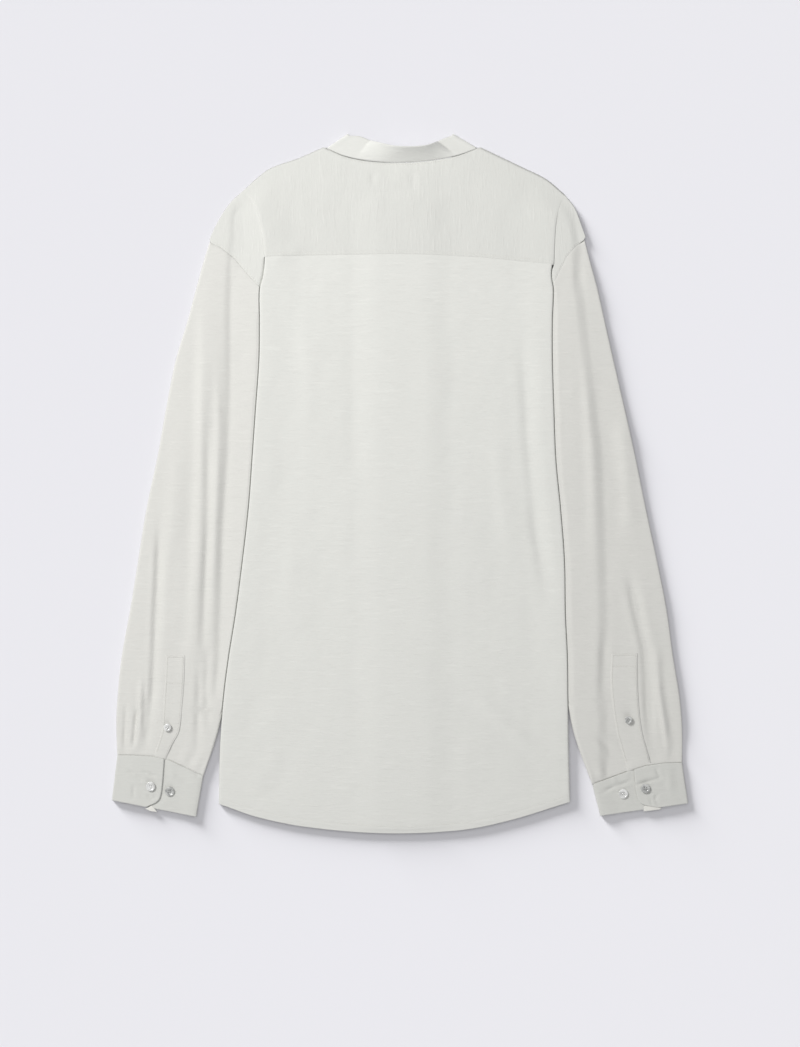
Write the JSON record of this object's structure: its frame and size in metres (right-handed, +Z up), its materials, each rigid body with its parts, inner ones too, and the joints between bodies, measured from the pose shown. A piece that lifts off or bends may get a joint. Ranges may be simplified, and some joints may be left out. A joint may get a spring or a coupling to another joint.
{
  "type": "mandarin collar shirt",
  "caption": "Off-white long-sleeved shirt with a band collar, laid face down and flat with both sleeves hanging down beside the body.",
  "frame": {"origin": "middle of the bounding box at the level of the surface the shirt lies on", "axes": "+Y from the hem to the collar, +Z up from the surface, out of the shirt's back; the shirt lies face down, so its own left arm is on the -X side"},
  "size_m": [0.6508, 0.7902, 0.0254],
  "materials": {
    "cloth": "off-white slubbed plain-weave cotton, matte",
    "yoke_cloth": "the same cloth turned a quarter, its slubs running down the shoulders",
    "button": "pearly off-white, semi-gloss"
  },
  "bodies": {
    "root": {"back": "cloth", "yoke": "yoke_cloth", "front_left": "cloth", "front_right": "cloth", "front_placket": "cloth", "collar": "cloth", "sleeve_left": "cloth", "sleeve_right": "cloth", "cuff_left": "cloth", "cuff_right": "cloth", "sleeve_placket_left": "cloth", "sleeve_placket_right": "cloth", "cuff_button_left": "button", "cuff_button_right": "button", "cuff_button_spare_left": "button", "cuff_button_spare_right": "button", "sleeve_button_left": "button", "sleeve_button_right": "button", "collar_button": "button", "front_button_1": "button", "front_button_2": "button", "front_button_3": "button", "front_button_4": "button", "front_button_5": "button", "front_button_6": "button", "front_button_7": "button"}
  },
  "joints": []
}
